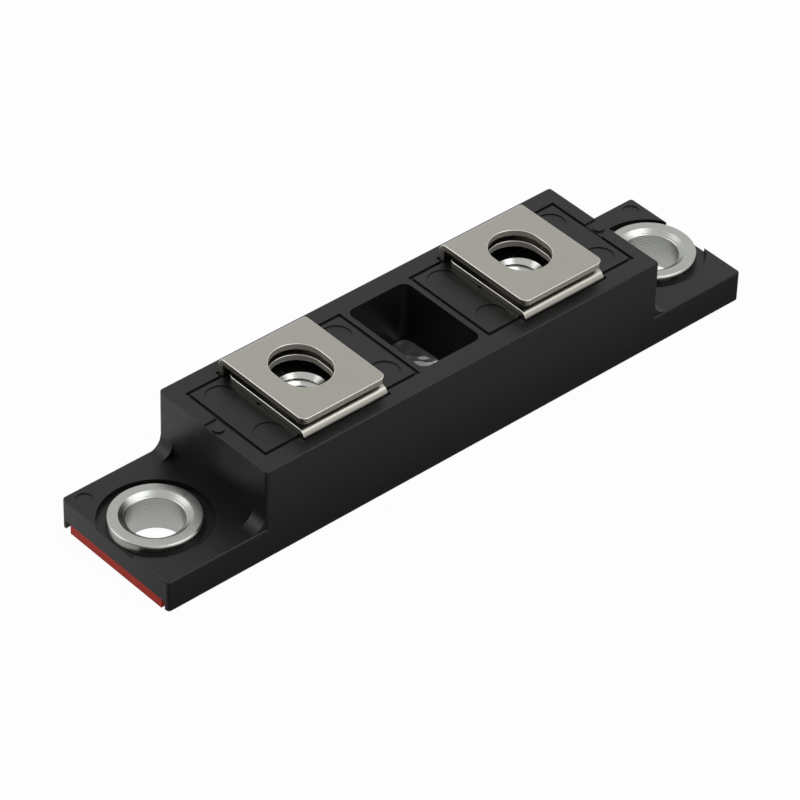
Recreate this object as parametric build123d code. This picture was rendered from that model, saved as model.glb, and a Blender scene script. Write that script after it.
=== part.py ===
from build123d import *
import os
from math import radians, tan

# Flat two-terminal power diode module: black moulded housing on a copper baseplate, two mounting
# eyelets, and two pairs of folded copper straps over captive hexagon nuts. Millimetres, +Z up.
# The origin is the centre of the baseplate's underside, +X runs along the length to the right-hand
# ear and -Y is the front, where the lower straps come out.

# Housing outline
HOUSING_LENGTH = 92.3
HOUSING_WIDTH = 19.9
EAR_LENGTH = 14.75          # each low ear, from the body's end to the housing's end
EAR_TOP = 4.7
SKIRT_LIFT = 0.35           # the skirt stops this far above the mounting plane
SKIRT_WALL = 0.7
CORNER_RADIUS = 0.45        # upright outer corners
RIM_RADIUS = 0.25           # top edges
GUSSET_RADIUS = 2.0         # hollow web between each ear and the body, at both long sides
GUSSET_WIDTH = 2.5

# Baseplate
BASE_THICKNESS = 1.5
BASE_END_INSET = 0.1
BASE_SIDE_GAP = 0.75        # room for the adhesive between the plate and the skirt
BEAD_END_INSET = 1.8        # the adhesive stops short of the plate's ends
BEAD_DEPTH = 0.9

# Mounting eyelets
MOUNT_INSET = 6.15          # centre of each mounting hole, from the housing's end
MOUNT_BORE = 7.2
EYELET_WALL = 1.1
EYELET_LIP = 1.2            # the flange stands this far out from the tube
EYELET_RISE = 0.63          # flange top above the ear
EYELET_MOUTH = 0.75         # radial width of the mouth's chamfer
EYELET_MOUTH_DEPTH = 0.55
EYELET_EDGE = 0.2
EYELET_FIT = 0.1            # radial clearance round the tube
COUNTERBORE_MARGIN = 1.15   # the sunk ring round the flange
COUNTERBORE_DEPTH = 0.7

# Terminal straps
TERMINAL_OFFSET = 0.4       # holes and nuts stand this far behind the centre line
STRAP_WIDTH = 13.0
STRAP_THICKNESS = 0.85
STRAP_BEND = 0.25           # inner radius of each fold
STRAP_INSET = 2.05          # outer face of the upright legs, in from the body's side
PLATE_GAP = 0.8             # between the lower and the upper plate
UPPER_SETBACK = 0.25        # free edge of the upper plate, behind the front leg
LOWER_SETBACK = 0.75        # free edge of the lower plate, short of the back leg
PLATE_CORNER = 1.0
SCREW_SLOT_WIDTH = 6.9
SCREW_SLOT_LENGTH = 8.4
STRAP_NECK_MARGIN = 0.2     # the soldered foot, inside the edge of the plate under it
STRAP_SHOULDER_DROP = 2.6   # body top down to where the leg starts to narrow
STRAP_TAPER_HEIGHT = 2.2
FOOT_GAP = 0.9              # between the feet of the two straps of a terminal
LEG_CLEARANCE = 0.25        # round each leg in its slot

# Captive nuts
NUT_HEIGHT = 5.15
NUT_BORE = 5.2
NUT_MOUTH_DEPTH = 0.8       # depth and radial width of the chamfer at each mouth of the thread
NUT_BEVEL = 0.5             # the corners are turned down to this much over the flats
NUT_BEVEL_DEPTH = 0.55
NUT_SINK = 1.25             # nut top below the body top
NUT_FIT = 0.3               # clearance to each side of the pocket
POCKET_WALL = 0.55          # plastic left between the pocket and the back slot
SCREW_RELIEF_MARGIN = 0.9   # round the thread, in the floor under the nut
SCREW_RELIEF_DEPTH = 0.5
BOSS_GAP = 0.65             # between the strap's foot and the boss over it

# Hollows of the housing
SIDE_WALL = 1.45
END_WALL = 2.0
ROOF = 2.2
BOSS_WALL = 1.1
WELL_LENGTH_X = 9.5
WELL_MARGIN = 2.9           # from the well to the body's side
WELL_CORNER = 1.2
WELL_DRAFT = 1.5            # degrees
WELL_WALL = 1.5
WELL_DIP = 0.4              # the well's wall stands this deep in the potting

# Marks moulded in the top
PANEL_END_MARGIN = 2.1      # from the panel's groove to the body's end
PANEL_WELL_MARGIN = 0.95
PANEL_SIDE_MARGIN = 2.8
GROOVE_WIDTH = 0.45
GROOVE_DEPTH = 0.3
PIN_DIAMETER = 3.9
PIN_INSET_X = 2.85          # centres of the marks, in from the panel's groove
PIN_INSET_Y = 2.75
PIN_DEPTH = 0.12
GATE_PAD_WIDTH = 3.1
GATE_PAD_DEPTH = 0.2
GATE_PIP_DIAMETER = 1.5
EAR_PIN_DIAMETER = 2.2
EAR_PIN_INSET = 1.9         # centre of the ear's mark, from its end and from its back edge

# Diode stack of each terminal, from the baseplate up
BASE_SOLDER = 0.15
BUFFER_THICKNESS = 0.8
BUFFER_MARGIN = 0.4         # the plate under the die stands out this far
DIE_THICKNESS = 0.35
DIE_SIDE = 9.6
DIE_SOLDER = 0.1
CAP_THICKNESS = 0.8
CAP_MARGIN = 0.4            # the plate over the die stands in this far
FOOT_SOLDER = 0.1
SOLDER_INSET = 0.3          # each solder layer, inside the edge of the plate above it
POTTING_ABOVE_FOOT = 0.1    # the potting just laps the feet

# Places that follow from the sizes above
HALF_WIDTH = HOUSING_WIDTH / 2
BODY_LENGTH = HOUSING_LENGTH - 2 * EAR_LENGTH
MOUNT_X = HOUSING_LENGTH / 2 - MOUNT_INSET
TUBE_DIAMETER = MOUNT_BORE + 2 * EYELET_WALL
FLANGE_DIAMETER = TUBE_DIAMETER + 2 * EYELET_LIP
COUNTERBORE_DIAMETER = FLANGE_DIAMETER + 2 * COUNTERBORE_MARGIN
BASE_LENGTH = HOUSING_LENGTH - 2 * BASE_END_INSET
BASE_WIDTH = HOUSING_WIDTH - 2 * (SKIRT_WALL + BASE_SIDE_GAP)
BASE_TOP = BASE_THICKNESS
EAR_FLOOR = EAR_TOP - COUNTERBORE_DEPTH
BUFFER_BOTTOM = BASE_TOP + BASE_SOLDER
DIE_BOTTOM = BUFFER_BOTTOM + BUFFER_THICKNESS + DIE_SOLDER
CAP_BOTTOM = DIE_BOTTOM + DIE_THICKNESS + DIE_SOLDER
FOOT_BOTTOM = CAP_BOTTOM + CAP_THICKNESS + FOOT_SOLDER
POTTING_TOP = FOOT_BOTTOM + POTTING_ABOVE_FOOT
BOSS_BOTTOM = FOOT_BOTTOM + STRAP_THICKNESS + BOSS_GAP
NUT_FLOOR = BOSS_BOTTOM + BOSS_WALL + SCREW_RELIEF_DEPTH
NUT_TOP = NUT_FLOOR + NUT_HEIGHT
BODY_TOP = NUT_TOP + NUT_SINK
UPPER_PLATE_BOTTOM = BODY_TOP + STRAP_THICKNESS + PLATE_GAP
BUFFER_SIDE = DIE_SIDE + 2 * BUFFER_MARGIN
CAP_SIDE = DIE_SIDE - 2 * CAP_MARGIN
STRAP_NECK_WIDTH = CAP_SIDE - 2 * STRAP_NECK_MARGIN
CHAMBER_HALF_WIDTH = HALF_WIDTH - SIDE_WALL
CHAMBER_END = BODY_LENGTH / 2 - END_WALL
CHAMBER_TOP = BODY_TOP - ROOF
WELL_FOOT = POTTING_TOP - WELL_DIP
WELL_LENGTH_Y = HOUSING_WIDTH - 2 * WELL_MARGIN
WELL_SHELL_HALF = WELL_LENGTH_X / 2 + WELL_WALL
PANEL_INNER = WELL_LENGTH_X / 2 + PANEL_WELL_MARGIN
PANEL_OUTER = BODY_LENGTH / 2 - PANEL_END_MARGIN
PANEL_LENGTH = PANEL_OUTER - PANEL_INNER
PANEL_WIDTH = HOUSING_WIDTH - 2 * PANEL_SIDE_MARGIN
TERMINAL_X = (PANEL_INNER + PANEL_OUTER) / 2
STRAP_REACH = HALF_WIDTH - STRAP_INSET
LEG_INNER = STRAP_REACH - STRAP_THICKNESS
SLOT_INNER = LEG_INNER - LEG_CLEARANCE
NUT_FLATS = 2 * (SLOT_INNER - POCKET_WALL - NUT_FIT - TERMINAL_OFFSET)
SCREW_RELIEF_DIAMETER = NUT_BORE + 2 * SCREW_RELIEF_MARGIN

SIDES = {"left": -1, "right": 1}


# A block given by its lowest and highest corner
def block(x0, x1, y0, y1, z0, z1):
    centre = ((x0 + x1) / 2, (y0 + y1) / 2, (z0 + z1) / 2)
    return Pos(*centre) * Box(x1 - x0, y1 - y0, z1 - z0)


# An upright cylinder standing on z
def disc(x, y, z, diameter, height):
    return Pos(x, y, z + height / 2) * Cylinder(diameter / 2, height)


# A square plate centred on one terminal's stack
def square_plate(x, side, z, thickness):
    return block(x - side / 2, x + side / 2, -side / 2, side / 2, z, z + thickness)


# A block of the housing with rounded upright corners and a softened top rim
def moulded_block(length, top):
    solid = block(-length / 2, length / 2, -HALF_WIDTH, HALF_WIDTH, SKIRT_LIFT, top)
    solid = fillet(solid.edges().filter_by(Axis.Z), CORNER_RADIUS)
    return fillet(solid.faces().sort_by(Axis.Z)[-1].edges(), RIM_RADIUS)


# The hollow-curved web in the corner between the body's end and an ear
def gusset(side, front):
    wall = side * BODY_LENGTH / 2
    reach = wall + side * GUSSET_RADIUS
    with BuildSketch(Plane.XZ) as web:
        with BuildLine():
            corner = (wall - side * RIM_RADIUS, EAR_TOP - RIM_RADIUS)
            up = (wall - side * RIM_RADIUS, EAR_TOP + GUSSET_RADIUS)
            high = (wall, EAR_TOP + GUSSET_RADIUS)
            low = (reach, EAR_TOP)
            out = (reach, EAR_TOP - RIM_RADIUS)
            Polyline(low, out, corner, up, high)
            RadiusArc(high, low, -GUSSET_RADIUS * side)
        make_face()
    outer = HALF_WIDTH - RIM_RADIUS
    inner = HALF_WIDTH - GUSSET_WIDTH
    start = -outer if front else inner
    return Pos(0, start + outer - inner, 0) * extrude(web.sketch, outer - inner)


# Outer form with its hollow underside, before the openings in the top are cut
def housing_shell():
    shell = moulded_block(HOUSING_LENGTH, EAR_TOP) + moulded_block(BODY_LENGTH, BODY_TOP)
    for side in SIDES.values():
        for front in (True, False):
            shell += gusset(side, front)
    inner_skirt = HALF_WIDTH - SKIRT_WALL
    beyond = HOUSING_LENGTH
    shell -= block(-beyond, beyond, -inner_skirt, inner_skirt, 0, BASE_TOP)
    for side in SIDES.values():
        x0, x1 = sorted((side * WELL_SHELL_HALF, side * CHAMBER_END))
        shell -= block(x0, x1, -CHAMBER_HALF_WIDTH, CHAMBER_HALF_WIDTH, BASE_TOP, CHAMBER_TOP)
    half = CHAMBER_HALF_WIDTH
    shell -= block(-WELL_SHELL_HALF, WELL_SHELL_HALF, -half, half, BASE_TOP, WELL_FOOT)
    return shell


# Hexagon, corners to the left and right, as an upright prism
def hexagon(x, flats, z, height):
    outline = RegularPolygon(flats / 2, 6, major_radius=False, rotation=0)
    return Pos(x, TERMINAL_OFFSET, z) * extrude(outline, height)


# Boss that hangs under the roof and carries the nut, held clear of both strap legs
def nut_boss(x):
    height = BODY_TOP - ROOF / 2 - BOSS_BOTTOM
    boss = hexagon(x, NUT_FLATS + 2 * (NUT_FIT + BOSS_WALL), BOSS_BOTTOM, height)
    return boss & block(x - STRAP_WIDTH, x + STRAP_WIDTH, -SLOT_INNER, SLOT_INNER, BOSS_BOTTOM, BODY_TOP)


# Everything cut from the roof at one terminal
def terminal_cuts(x):
    half = STRAP_WIDTH / 2 + LEG_CLEARANCE
    cuts = hexagon(x, NUT_FLATS + 2 * NUT_FIT, NUT_FLOOR, BODY_TOP - NUT_FLOOR + 1)
    relief = NUT_FLOOR - SCREW_RELIEF_DEPTH
    cuts += disc(x, TERMINAL_OFFSET, relief, SCREW_RELIEF_DIAMETER, SCREW_RELIEF_DEPTH + 1)
    for side in (-1, 1):
        y0, y1 = sorted((side * SLOT_INNER, side * (STRAP_REACH + LEG_CLEARANCE)))
        cuts += block(x - half, x + half, y0, y1, CHAMBER_TOP - 1, BODY_TOP + 1)
    return cuts


# Shallow groove round the panel and the four ejector-pin marks inside it
def panel_marks(x):
    floor = BODY_TOP - GROOVE_DEPTH
    outline = Rectangle(PANEL_LENGTH + GROOVE_WIDTH, PANEL_WIDTH + GROOVE_WIDTH)
    outline -= Rectangle(PANEL_LENGTH - GROOVE_WIDTH, PANEL_WIDTH - GROOVE_WIDTH)
    marks = Pos(x, 0, floor) * extrude(outline, 2 * GROOVE_DEPTH)
    for place in GridLocations(PANEL_LENGTH - 2 * PIN_INSET_X, PANEL_WIDTH - 2 * PIN_INSET_Y, 2, 2):
        marks += Pos(x, 0, 0) * place * disc(0, 0, BODY_TOP - PIN_DEPTH, PIN_DIAMETER, 2 * PIN_DEPTH)
    return marks


# Sunk pad with a raised pip where the plastic entered the mould, at one end of the top
def gate_mark(side):
    inner = PANEL_OUTER + GROOVE_WIDTH / 2
    outer = BODY_LENGTH / 2 + 1
    x0, x1 = sorted((side * inner, side * outer))
    pad = block(x0, x1, -GATE_PAD_WIDTH / 2, GATE_PAD_WIDTH / 2, BODY_TOP - GATE_PAD_DEPTH, BODY_TOP + 1)
    pip_x = side * (inner + BODY_LENGTH / 2) / 2
    return pad - disc(pip_x, 0, BODY_TOP - GATE_PAD_DEPTH, GATE_PIP_DIAMETER, GATE_PAD_DEPTH)


# Stepped hole for one eyelet; the wide step breaks out through the ear's end
def eyelet_cut(x):
    through = disc(x, 0, 0, TUBE_DIAMETER + 2 * EYELET_FIT, EAR_TOP)
    return through + disc(x, 0, EAR_FLOOR, COUNTERBORE_DIAMETER, COUNTERBORE_DEPTH + 1)


# Black moulded housing
def housing():
    body = housing_shell()
    for side in SIDES.values():
        x = side * TERMINAL_X
        body += nut_boss(x)
        body -= terminal_cuts(x) + panel_marks(x)
        body -= gate_mark(side)
        body -= eyelet_cut(side * MOUNT_X)
        mark_x = side * (HOUSING_LENGTH / 2 - EAR_PIN_INSET)
        body -= disc(mark_x, HALF_WIDTH - EAR_PIN_INSET, EAR_TOP - PIN_DEPTH, EAR_PIN_DIAMETER, 2 * PIN_DEPTH)
    mouth = Pos(0, 0, BODY_TOP) * RectangleRounded(WELL_LENGTH_X, WELL_LENGTH_Y, WELL_CORNER)
    return body - extrude(mouth, amount=WELL_FOOT - BODY_TOP - 0.5, taper=WELL_DRAFT)


# Copper plate that carries everything and spreads the heat
def baseplate():
    plate = block(-BASE_LENGTH / 2, BASE_LENGTH / 2, -BASE_WIDTH / 2, BASE_WIDTH / 2, 0, BASE_THICKNESS)
    for side in SIDES.values():
        plate -= disc(side * MOUNT_X, 0, -1, TUBE_DIAMETER + 2 * EYELET_FIT, BASE_THICKNESS + 2)
    return plate


# Adhesive that seals one long side of the plate to the skirt
def adhesive_bead(side):
    y0, y1 = sorted((side * BASE_WIDTH / 2, side * (HALF_WIDTH - SKIRT_WALL)))
    half = BASE_LENGTH / 2 - BEAD_END_INSET
    return block(-half, half, y0, y1, BASE_TOP - BEAD_DEPTH, BASE_TOP)


# Flanged sleeve that takes the mounting screw's load past the plastic
def eyelet(x):
    tube, flange = TUBE_DIAMETER / 2, FLANGE_DIAMETER / 2
    bore, mouth = MOUNT_BORE / 2, MOUNT_BORE / 2 + EYELET_MOUTH
    top = EAR_TOP + EYELET_RISE
    section = Plane.XZ * Polyline(
        (bore, 0), (tube, 0), (tube, EAR_FLOOR), (flange, EAR_FLOOR), (flange, top - EYELET_EDGE),
        (flange - EYELET_EDGE, top), (mouth, top), (bore, top - EYELET_MOUTH_DEPTH), close=True)
    return Pos(x, 0, 0) * revolve(make_face(section), Axis.Z)


# A strip bent along a route in the YZ plane, then trimmed to its outline seen from the front
def bent_strap(x, route):
    path = FilletPolyline(*[(x, y, z) for y, z in route], radius=STRAP_BEND + STRAP_THICKNESS / 2)
    start = Plane(origin=path @ 0, x_dir=(1, 0, 0), z_dir=path % 0)
    strip = sweep(start * Rectangle(STRAP_WIDTH, STRAP_THICKNESS), path=path)
    wide, neck = STRAP_WIDTH / 2, STRAP_NECK_WIDTH / 2
    top, shoulder = 2 * BODY_TOP, BODY_TOP - STRAP_SHOULDER_DROP
    throat = shoulder - STRAP_TAPER_HEIGHT
    outline = Plane.XZ * Polyline(
        (x - wide, top), (x - wide, shoulder), (x - neck, throat), (x - neck, 0),
        (x + neck, 0), (x + neck, throat), (x + wide, shoulder), (x + wide, top), close=True)
    return strip & extrude(make_face(outline), HOUSING_WIDTH, both=True)


# The slot for the terminal screw, long from front to back
def screw_slot(x, z):
    slot = Rot(0, 0, 90) * SlotOverall(SCREW_SLOT_LENGTH, SCREW_SLOT_WIDTH)
    return Pos(x, TERMINAL_OFFSET, z - STRAP_THICKNESS) * extrude(slot, 3 * STRAP_THICKNESS)


# Rounds the two free corners of a plate, which are the upright edges at its free end
def round_free_corners(strap, free_y, z):
    upright = strap.edges().filter_by(Axis.Z).filter_by_position(Axis.Y, free_y - 0.01, free_y + 0.01)
    return fillet(upright.filter_by_position(Axis.Z, z, z + STRAP_THICKNESS), PLATE_CORNER)


# One strap of a terminal: a plate on top, a leg down its slot and a soldered foot. The lower strap
# stands in the front slot and rests on the body; the upper one stands in the back slot.
def strap(x, upper):
    leg = STRAP_REACH - STRAP_THICKNESS / 2
    side = 1 if upper else -1
    if upper:
        bottom, free_edge = UPPER_PLATE_BOTTOM, -STRAP_REACH + UPPER_SETBACK
    else:
        bottom, free_edge = BODY_TOP, LEG_INNER - LOWER_SETBACK
    plate_z = bottom + STRAP_THICKNESS / 2
    foot_z = FOOT_BOTTOM + STRAP_THICKNESS / 2
    route = [(free_edge, plate_z), (side * leg, plate_z), (side * leg, foot_z), (side * FOOT_GAP / 2, foot_z)]
    part = bent_strap(x, route) - screw_slot(x, bottom)
    return round_free_corners(part, free_edge, bottom)


# Loose hexagon nut, its corners turned down at both faces
def nut(x):
    body = hexagon(x, NUT_FLATS, NUT_FLOOR, NUT_HEIGHT)
    corner = NUT_FLATS / 3 ** 0.5
    bevel = (NUT_FLATS + NUT_BEVEL) / 2
    low, high = NUT_FLOOR, NUT_TOP
    bore, mouth = NUT_BORE / 2, NUT_BORE / 2 + NUT_MOUTH_DEPTH
    turned = Plane.XZ * Polyline(
        (bore, low + NUT_MOUTH_DEPTH), (mouth, low), (bevel, low), (corner, low + NUT_BEVEL_DEPTH),
        (corner, high - NUT_BEVEL_DEPTH), (bevel, high), (mouth, high), (bore, high - NUT_MOUTH_DEPTH),
        close=True)
    return body & Pos(x, TERMINAL_OFFSET, 0) * revolve(make_face(turned), Axis.Z)


# The soldered stack under one terminal, each layer as its own solid
def diode_stack(x):
    foot_solder_side = STRAP_NECK_WIDTH - 2 * SOLDER_INSET
    return {
        "base_solder": square_plate(x, BUFFER_SIDE - 2 * SOLDER_INSET, BASE_TOP, BASE_SOLDER),
        "buffer_plate": square_plate(x, BUFFER_SIDE, BUFFER_BOTTOM, BUFFER_THICKNESS),
        "die_solder": square_plate(x, DIE_SIDE - 2 * SOLDER_INSET, DIE_BOTTOM - DIE_SOLDER, DIE_SOLDER),
        "schottky_die": square_plate(x, DIE_SIDE, DIE_BOTTOM, DIE_THICKNESS),
        "cap_solder": square_plate(x, CAP_SIDE - 2 * SOLDER_INSET, CAP_BOTTOM - DIE_SOLDER, DIE_SOLDER),
        "cap_plate": square_plate(x, CAP_SIDE, CAP_BOTTOM, CAP_THICKNESS),
        "foot_solder": square_plate(x, foot_solder_side, FOOT_BOTTOM - FOOT_SOLDER, FOOT_SOLDER),
    }


# Clear gel over the stacks, poured in through the well, around whatever stands in it
def potting(standing_in_it):
    fill = block(-CHAMBER_END, CHAMBER_END, -CHAMBER_HALF_WIDTH, CHAMBER_HALF_WIDTH, BASE_TOP, POTTING_TOP)
    for solid in standing_in_it:
        fill -= solid
    return fill


def build():
    nodes = {"housing": housing(), "baseplate": baseplate()}
    nodes["adhesive_bead_front"] = adhesive_bead(-1)
    nodes["adhesive_bead_back"] = adhesive_bead(1)
    in_potting = [nodes["housing"]]
    for name, side in SIDES.items():
        x = side * TERMINAL_X
        nodes["mounting_eyelet_" + name] = eyelet(side * MOUNT_X)
        nodes["terminal_nut_" + name] = nut(x)
        nodes["upper_strap_" + name] = strap(x, upper=True)
        nodes["lower_strap_" + name] = strap(x, upper=False)
        in_potting += [nodes["upper_strap_" + name], nodes["lower_strap_" + name]]
        for layer, solid in diode_stack(x).items():
            nodes[layer + "_" + name] = solid
            in_potting.append(solid)
    nodes["potting"] = potting(in_potting)
    return nodes


os.makedirs("parts", exist_ok=True)
for node, solid in build().items():
    export_step(solid, os.path.join("parts", node + ".step"))
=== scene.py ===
# %% [markdown]
# # A flat power diode module
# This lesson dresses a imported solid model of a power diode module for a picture: a black moulded
# body on a copper plate, with a metal eyelet in each ear and two folded strap terminals over nuts.
# The frame brings every solid piece at its real size and place. The script gives each one its
# finish, replaces those whose fine edges or threads matter to the eye, and sets the light.
# Blender works in metres, and the object's own sizes are written in millimetres.

# %% Load the frame
from math import cos, exp, pi, radians, sin

import bmesh
import bpy
from mathutils import Matrix, Vector


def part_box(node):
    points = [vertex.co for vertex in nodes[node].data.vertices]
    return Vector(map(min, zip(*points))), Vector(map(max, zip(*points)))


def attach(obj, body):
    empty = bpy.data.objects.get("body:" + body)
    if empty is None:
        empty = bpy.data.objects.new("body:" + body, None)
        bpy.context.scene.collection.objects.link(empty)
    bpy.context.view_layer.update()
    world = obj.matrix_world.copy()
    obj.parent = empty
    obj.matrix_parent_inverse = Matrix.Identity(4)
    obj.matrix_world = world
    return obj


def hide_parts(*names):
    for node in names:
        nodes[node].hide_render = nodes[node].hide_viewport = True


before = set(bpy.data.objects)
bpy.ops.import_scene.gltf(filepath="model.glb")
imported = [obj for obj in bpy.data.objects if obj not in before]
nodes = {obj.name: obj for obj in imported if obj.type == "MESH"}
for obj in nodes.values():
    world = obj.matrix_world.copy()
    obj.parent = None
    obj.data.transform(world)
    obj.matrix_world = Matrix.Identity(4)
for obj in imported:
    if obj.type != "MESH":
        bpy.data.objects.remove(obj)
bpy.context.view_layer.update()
MM = 0.001
SIDES = ("left", "right")

# %% [markdown]
# ## Colours and shader nodes
# A picture editor shows sRGB hex values, but Blender mixes light in linear values, so one function
# turns each hex colour to linear. A second one adds a shader node with its settings and links, which
# keeps each finish readable as a list of what it is made of.

# %% Colour and node helpers
def linear(hex_colour):
    """An sRGB hex colour as a linear RGBA tuple."""
    channels = [int(hex_colour[i:i + 2], 16) / 255 for i in (1, 3, 5)]
    return tuple(c / 12.92 if c <= 0.04045 else ((c + 0.055) / 1.055) ** 2.4 for c in channels) + (1.0,)


def add_node(tree, kind, inputs=None, **settings):
    """Adds one node, sets its properties, and sets or links its inputs by name or number."""
    node = tree.nodes.new(kind)
    for name, value in settings.items():
        setattr(node, name, value)
    for name, value in (inputs or {}).items():
        if isinstance(value, bpy.types.NodeSocket):
            tree.links.new(value, node.inputs[name])
        else:
            node.inputs[name].default_value = value
    return node


def new_material(name):
    """An empty material and its node tree."""
    material = bpy.data.materials.new(name)
    material.use_nodes = True
    material.node_tree.nodes.clear()
    return material, material.node_tree


print("white is", linear("#ffffff")[:3], "and middle grey is", round(linear("#808080")[0], 3))

# %% [markdown]
# ## The camera
# The photograph was taken from the front left and from above, with a long lens. Where the camera
# stood was worked out from the object's own corners, so the picture and the model share one view.
# The lens is given as focal length over picture width, which is the same for any sensor.

# %% Camera
AZIMUTH, ELEVATION, ROLL = radians(-42.348), radians(39.364), radians(1.75)
DISTANCE = 556.87
LENS_IN_PICTURE_WIDTHS = 5.6966
SENSOR_WIDTH = 36.0
AIM_RIGHT, AIM_UP, AIM_HEIGHT = -1.368, 1.444, -0.2

back = Vector((sin(AZIMUTH) * cos(ELEVATION), -cos(AZIMUTH) * cos(ELEVATION), sin(ELEVATION)))
level_right = (-back).cross(Vector((0, 0, 1))).normalized()
level_up = level_right.cross(-back)
right = cos(ROLL) * level_right + sin(ROLL) * level_up
up = -sin(ROLL) * level_right + cos(ROLL) * level_up
place = back * DISTANCE + right * AIM_RIGHT + up * AIM_UP + Vector((0, 0, AIM_HEIGHT))

camera_data = bpy.data.cameras.new("camera")
camera_data.sensor_width = SENSOR_WIDTH
camera_data.lens = LENS_IN_PICTURE_WIDTHS * SENSOR_WIDTH
camera_data.clip_start = 10 * MM
camera = bpy.data.objects.new("camera", camera_data)
camera.matrix_world = Matrix.Translation(place * MM) @ Matrix((right, up, back)).transposed().to_4x4()
bpy.context.scene.collection.objects.link(camera)
bpy.context.scene.camera = camera
bpy.context.scene.view_settings.view_transform = "Standard"
print("camera at", [round(c, 1) for c in place], "mm")

# %% [markdown]
# ## The floor
# A product picture has a white sweep of paper under the object. If the lamps alone had to make it
# white, they would also bleach the metal. So the camera's rays see mostly plain white, and the rest
# is the paper's own shading, which keeps a faint shadow. Mirrored rays see the white too, but at a
# strength painted by place: the paper before the front wall gets a painted shade, which that wall
# mirrors, while the paper at its ends and under the object is painted nearly white, and the end walls
# and the bores mirror that. The first step works out how white each point of the paper is in a mirror.

# %% White of the floor in mirrors
# How white each part of the paper is painted in mirrored rays, and its edge in millimetres: along y for
# the painted shade, the paper in front of it and the paper behind, and from x = 0 for the paper under the
# object.
SHADE_WHITE, SHADE_BACK, SHADE_FRONT, SHADE_BLUR = 0.12, -9.5, -10.0, 1.0
FRONT_WHITE, FRONT_EDGE = 0.45, -22.0
BEHIND_WHITE, BEHIND_EDGE = 0.85, 12.0
UNDER_WHITE, UNDER_EDGE, UNDER_BLUR = 0.9, 45.5, 0.5

paper, tree = new_material("white paper sweep, matt")
rays = add_node(tree, "ShaderNodeLightPath")
mirrored = add_node(tree, "ShaderNodeMath", {
    0: rays.outputs["Is Glossy Ray"], 1: rays.outputs["Is Transmission Ray"]}, operation="MAXIMUM")
spot = add_node(tree, "ShaderNodeSeparateXYZ", {0: add_node(tree, "ShaderNodeTexCoord").outputs["Object"]})
from_middle = add_node(tree, "ShaderNodeMath", {0: spot.outputs[0]}, operation="ABSOLUTE")
depth = spot.outputs[1]
shade = add_node(tree, "ShaderNodeMapRange", {
    "Value": depth, "From Min": (SHADE_BACK - SHADE_BLUR) * MM, "From Max": (SHADE_BACK + SHADE_BLUR) * MM,
    "To Min": SHADE_WHITE, "To Max": 1.0})
behind = add_node(tree, "ShaderNodeMapRange", {
    "Value": depth, "From Min": SHADE_BACK * MM, "From Max": BEHIND_EDGE * MM,
    "To Min": FRONT_WHITE, "To Max": BEHIND_WHITE})
under = add_node(tree, "ShaderNodeMapRange", {
    "Value": from_middle.outputs[0], "From Min": (UNDER_EDGE + UNDER_BLUR) * MM,
    "From Max": (UNDER_EDGE - UNDER_BLUR) * MM, "To Min": 0.0, "To Max": UNDER_WHITE})
in_front = add_node(tree, "ShaderNodeMapRange", {
    "Value": depth, "From Min": FRONT_EDGE * MM, "From Max": SHADE_FRONT * MM,
    "To Min": FRONT_WHITE, "To Max": SHADE_WHITE})
pale = add_node(tree, "ShaderNodeMath", {0: behind.outputs[0], 1: under.outputs[0]}, operation="MAXIMUM")
near = add_node(tree, "ShaderNodeMath", {0: shade.outputs[0], 1: pale.outputs[0]}, operation="MINIMUM")
in_mirror = add_node(tree, "ShaderNodeMath", {
    0: near.outputs[0], 1: in_front.outputs[0]}, operation="MAXIMUM")
print("in mirrors the floor is", SHADE_WHITE, "white in the shade and", UNDER_WHITE, "under the object")

# %% [markdown]
# The second step mixes the matt paper with plain white by the kind of ray. A camera ray sees nearly
# all white, and a mirrored ray sees white alone, at the strength that the first step gives. Light
# that the paper scatters comes from the matt part.

# %% Finish of the floor
WHITE_FOR_CAMERA = 0.97

strength = add_node(tree, "ShaderNodeMath", {
    0: mirrored.outputs[0], 1: in_mirror.outputs[0], 2: rays.outputs["Is Camera Ray"]},
    operation="MULTIPLY_ADD")
share = add_node(tree, "ShaderNodeMath", {
    0: rays.outputs["Is Camera Ray"], 1: WHITE_FOR_CAMERA, 2: mirrored.outputs[0]},
    operation="MULTIPLY_ADD")
matt = add_node(tree, "ShaderNodeBsdfDiffuse", {"Color": linear("#c4c4c4")})
white = add_node(tree, "ShaderNodeEmission", {"Color": (1, 1, 1, 1), "Strength": strength.outputs[0]})
mix = add_node(tree, "ShaderNodeMixShader", {0: share.outputs[0], 1: matt.outputs[0], 2: white.outputs[0]})
add_node(tree, "ShaderNodeOutputMaterial", {0: mix.outputs[0]})
print("made", paper.name, "which shows the camera", WHITE_FOR_CAMERA, "of plain white")

# %% [markdown]
# The paper itself is one large square in the plane that the module stands on.

# %% Floor
FLOOR_SIZE = 6.0                # metres

half = FLOOR_SIZE / 2
floor_mesh = bpy.data.meshes.new("floor")
corners = [(-half, -half, 0), (half, -half, 0), (half, half, 0), (-half, half, 0)]
floor_mesh.from_pydata(corners, [], [(0, 1, 2, 3)])
floor_mesh.materials.append(paper)
floor = bpy.data.objects.new("floor", floor_mesh)
bpy.context.scene.collection.objects.link(floor)
print("floor", FLOOR_SIZE, "m wide")

# %% [markdown]
# ## The light
# The folds of the straps and the countersunk mouths shine where they face up and forwards, so a
# large lamp hangs above and in front. A large lamp gives soft shadows, and a highlight that fades at
# its ends.

# %% Lamp
LAMP_PLACE, LAMP_WIDTH, LAMP_DEPTH, LAMP_WATTS = Vector((180, -330, 620)), 560, 420, 1.5

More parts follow.
